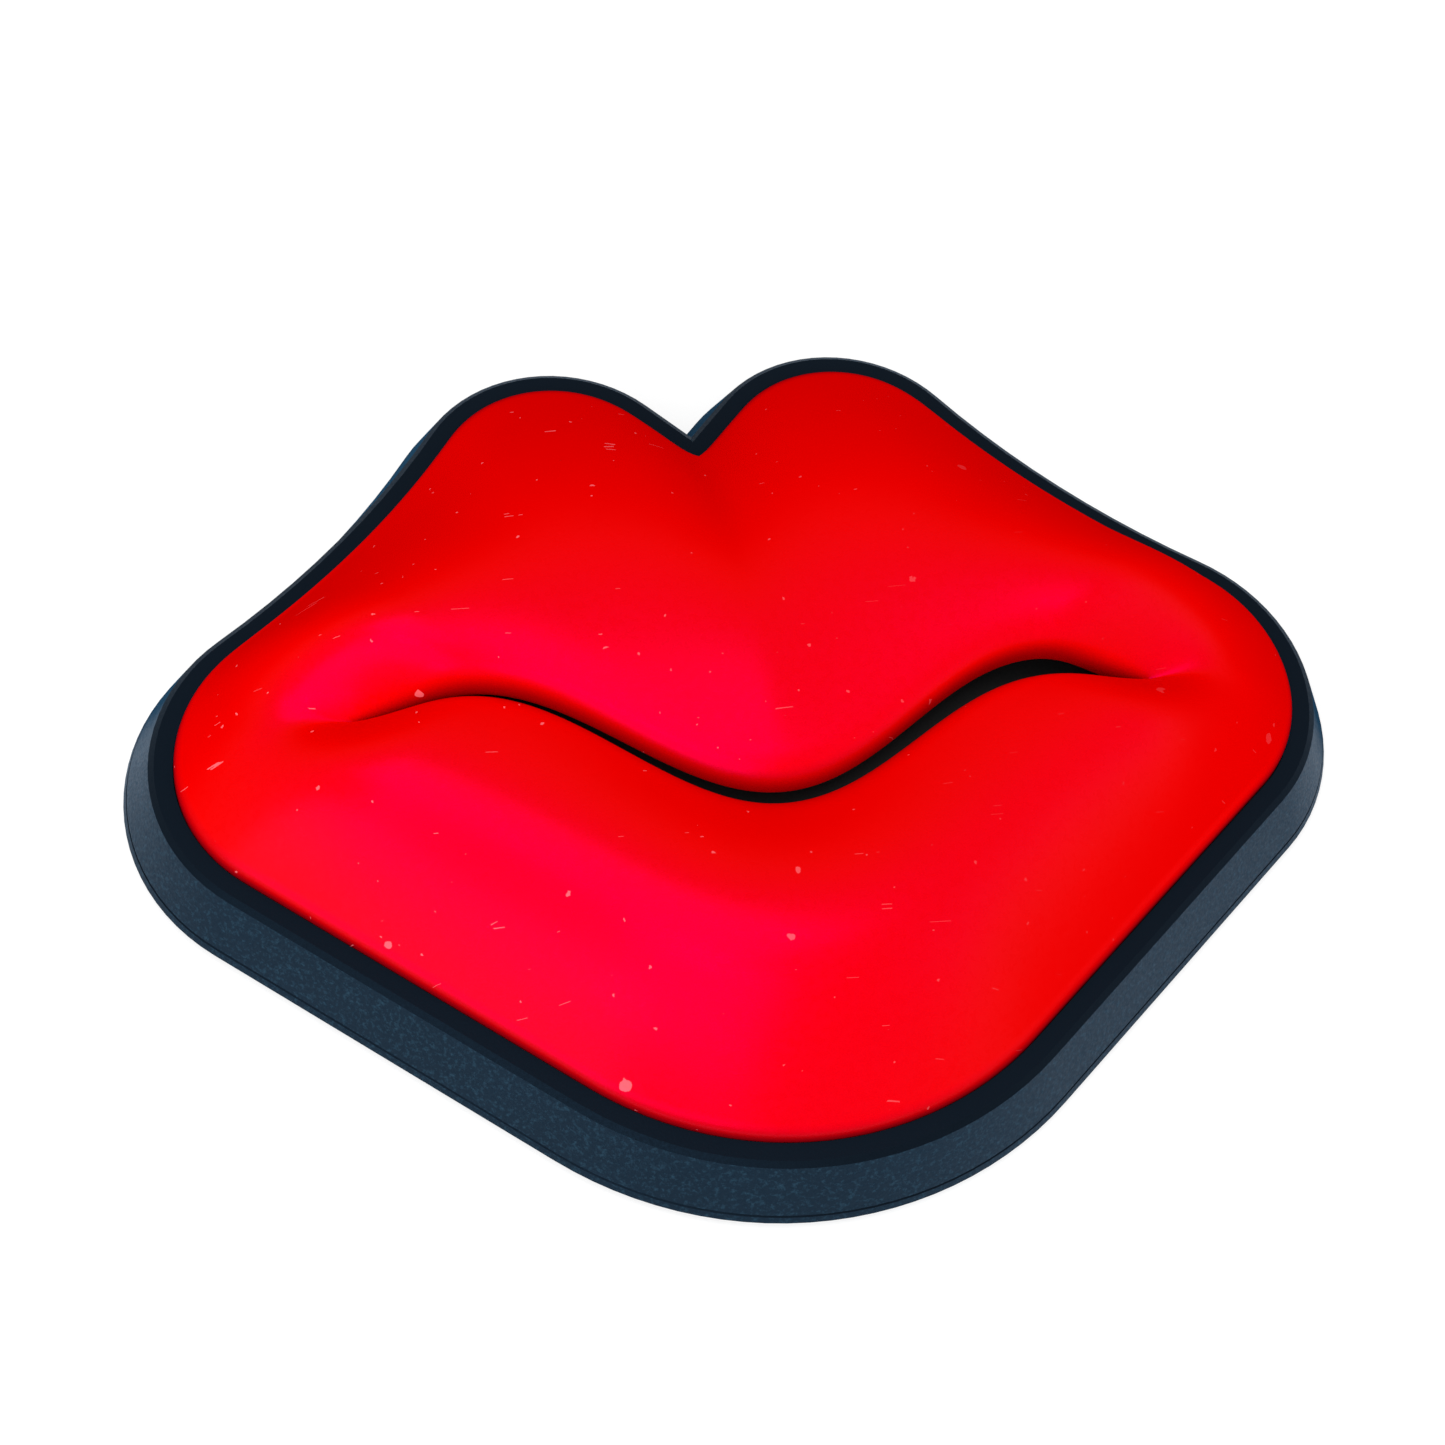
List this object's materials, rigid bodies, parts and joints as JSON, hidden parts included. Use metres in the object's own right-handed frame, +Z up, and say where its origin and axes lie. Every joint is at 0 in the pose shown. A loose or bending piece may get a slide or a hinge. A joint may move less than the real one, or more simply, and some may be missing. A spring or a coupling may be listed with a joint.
{
  "type": "lips-shaped telephone",
  "caption": "One-piece telephone handset shaped as red lips on a black rim; the keypad, earpiece, microphone and hook plunger are on its underside.",
  "frame": {"origin": "under the middle of the case, on the surface that its feet stand on", "axes": "+X along the mouth from the ear end to the voice end, +Y towards the cupid's bow, +Z up"},
  "size_m": [0.2102, 0.1682, 0.0392],
  "materials": {
    "red_abs": "semi-gloss moulded ABS, lightly dusty",
    "black_abs": "satin black ABS",
    "liner_black": "matt black sheet plastic",
    "key_plastic": "satin off-white ABS with printed figures",
    "silicone": "grey silicone rubber",
    "board_laminate": "phenolic paper laminate",
    "chip_epoxy": "black moulded epoxy",
    "capacitor_sleeve": "shrunk vinyl sleeve",
    "plated_steel": "zinc-plated steel",
    "white_nylon": "natural nylon",
    "lead_insulation": "soft vinyl insulation",
    "foam": "closed-cell foam",
    "receiver_plastic": "moulded plastic",
    "microphone_can": "drawn aluminium can",
    "contact_brass": "bright brass",
    "jack_nylon": "black nylon",
    "ballast_steel": "painted mild steel",
    "foot_rubber": "matt black rubber"
  },
  "bodies": {
    "base": {"lips_shell": "red_abs", "rim_frame": "black_abs", "bottom_plate": "black_abs", "mouth_liner": "liner_black", "keypad_mat": "silicone", "main_board": "board_laminate", "dialler_chip": "chip_epoxy", "speech_chip": "chip_epoxy", "capacitors": "capacitor_sleeve", "timing_crystal": "plated_steel", "line_diodes": "chip_epoxy", "lead_headers": "white_nylon", "receiver_leads": "lead_insulation", "microphone_leads": "lead_insulation", "ringer_leads": "lead_insulation", "jack_leads": "lead_insulation", "receiver_gasket": "foam", "receiver_capsule": "receiver_plastic", "receiver_retainer": "receiver_plastic", "microphone_boot": "silicone", "microphone_capsule": "microphone_can", "ringer_case": "receiver_plastic", "ringer_disc": "contact_brass", "hook_spring": "plated_steel", "hook_bracket": "plated_steel", "hook_switch": "chip_epoxy", "ringer_switch_body": "plated_steel", "tone_switch_body": "plated_steel", "line_jack": "jack_nylon", "jack_contacts": "contact_brass", "ballast_plate": "ballast_steel", "rubber_feet": "foot_rubber", "case_screws": "plated_steel", "board_screws": "plated_steel", "bracket_screws": "plated_steel"},
    "key_1": {"key_1": "key_plastic"},
    "key_2": {"key_2": "key_plastic"},
    "key_3": {"key_3": "key_plastic"},
    "key_4": {"key_4": "key_plastic"},
    "key_5": {"key_5": "key_plastic"},
    "key_6": {"key_6": "key_plastic"},
    "key_7": {"key_7": "key_plastic"},
    "key_8": {"key_8": "key_plastic"},
    "key_9": {"key_9": "key_plastic"},
    "key_star": {"key_star": "key_plastic"},
    "key_0": {"key_0": "key_plastic"},
    "key_hash": {"key_hash": "key_plastic"},
    "key_flash": {"key_flash": "key_plastic"},
    "key_redial": {"key_redial": "key_plastic"},
    "key_mute": {"key_mute": "key_plastic"},
    "ringer_switch_knob": {"ringer_switch_knob": "key_plastic"},
    "tone_switch_knob": {"tone_switch_knob": "key_plastic"},
    "hook_plunger": {"hook_plunger": "black_abs"}
  },
  "joints": [
    {"name": "key_1_press", "type": "slide", "parent": "base", "child": "key_1", "axis": [0, 0, 1], "range_m": [0, 0.0012], "stiffness_N_per_m": 250, "springref_m": -0.0025, "deforming": ["keypad_mat"]},
    {"name": "key_2_press", "type": "slide", "parent": "base", "child": "key_2", "axis": [0, 0, 1], "range_m": [0, 0.0012], "stiffness_N_per_m": 250, "springref_m": -0.0025, "deforming": ["keypad_mat"]},
    {"name": "key_3_press", "type": "slide", "parent": "base", "child": "key_3", "axis": [0, 0, 1], "range_m": [0, 0.0012], "stiffness_N_per_m": 250, "springref_m": -0.0025, "deforming": ["keypad_mat"]},
    {"name": "key_4_press", "type": "slide", "parent": "base", "child": "key_4", "axis": [0, 0, 1], "range_m": [0, 0.0012], "stiffness_N_per_m": 250, "springref_m": -0.0025, "deforming": ["keypad_mat"]},
    {"name": "key_5_press", "type": "slide", "parent": "base", "child": "key_5", "axis": [0, 0, 1], "range_m": [0, 0.0012], "stiffness_N_per_m": 250, "springref_m": -0.0025, "deforming": ["keypad_mat"]},
    {"name": "key_6_press", "type": "slide", "parent": "base", "child": "key_6", "axis": [0, 0, 1], "range_m": [0, 0.0012], "stiffness_N_per_m": 250, "springref_m": -0.0025, "deforming": ["keypad_mat"]},
    {"name": "key_7_press", "type": "slide", "parent": "base", "child": "key_7", "axis": [0, 0, 1], "range_m": [0, 0.0012], "stiffness_N_per_m": 250, "springref_m": -0.0025, "deforming": ["keypad_mat"]},
    {"name": "key_8_press", "type": "slide", "parent": "base", "child": "key_8", "axis": [0, 0, 1], "range_m": [0, 0.0012], "stiffness_N_per_m": 250, "springref_m": -0.0025, "deforming": ["keypad_mat"]},
    {"name": "key_9_press", "type": "slide", "parent": "base", "child": "key_9", "axis": [0, 0, 1], "range_m": [0, 0.0012], "stiffness_N_per_m": 250, "springref_m": -0.0025, "deforming": ["keypad_mat"]},
    {"name": "key_star_press", "type": "slide", "parent": "base", "child": "key_star", "axis": [0, 0, 1], "range_m": [0, 0.0012], "stiffness_N_per_m": 250, "springref_m": -0.0025, "deforming": ["keypad_mat"]},
    {"name": "key_0_press", "type": "slide", "parent": "base", "child": "key_0", "axis": [0, 0, 1], "range_m": [0, 0.0012], "stiffness_N_per_m": 250, "springref_m": -0.0025, "deforming": ["keypad_mat"]},
    {"name": "key_hash_press", "type": "slide", "parent": "base", "child": "key_hash", "axis": [0, 0, 1], "range_m": [0, 0.0012], "stiffness_N_per_m": 250, "springref_m": -0.0025, "deforming": ["keypad_mat"]},
    {"name": "key_flash_press", "type": "slide", "parent": "base", "child": "key_flash", "axis": [0, 0, 1], "range_m": [0, 0.0012], "stiffness_N_per_m": 250, "springref_m": -0.0025, "deforming": ["keypad_mat"]},
    {"name": "key_redial_press", "type": "slide", "parent": "base", "child": "key_redial", "axis": [0, 0, 1], "range_m": [0, 0.0012], "stiffness_N_per_m": 250, "springref_m": -0.0025, "deforming": ["keypad_mat"]},
    {"name": "key_mute_press", "type": "slide", "parent": "base", "child": "key_mute", "axis": [0, 0, 1], "range_m": [0, 0.0012], "stiffness_N_per_m": 250, "springref_m": -0.0025, "deforming": ["keypad_mat"]},
    {"name": "hook_plunger_slide", "type": "slide", "parent": "base", "child": "hook_plunger", "axis": [0, 0, -1], "range_m": [0, 0.0035], "stiffness_N_per_m": 80, "springref_m": 0.0075, "deforming": ["hook_spring"]},
    {"name": "ringer_switch_knob_slide", "type": "slide", "parent": "base", "child": "ringer_switch_knob", "axis": [1, 0, 0], "range_m": [0, 0.003]},
    {"name": "tone_switch_knob_slide", "type": "slide", "parent": "base", "child": "tone_switch_knob", "axis": [1, 0, 0], "range_m": [0, 0.003]}
  ]
}
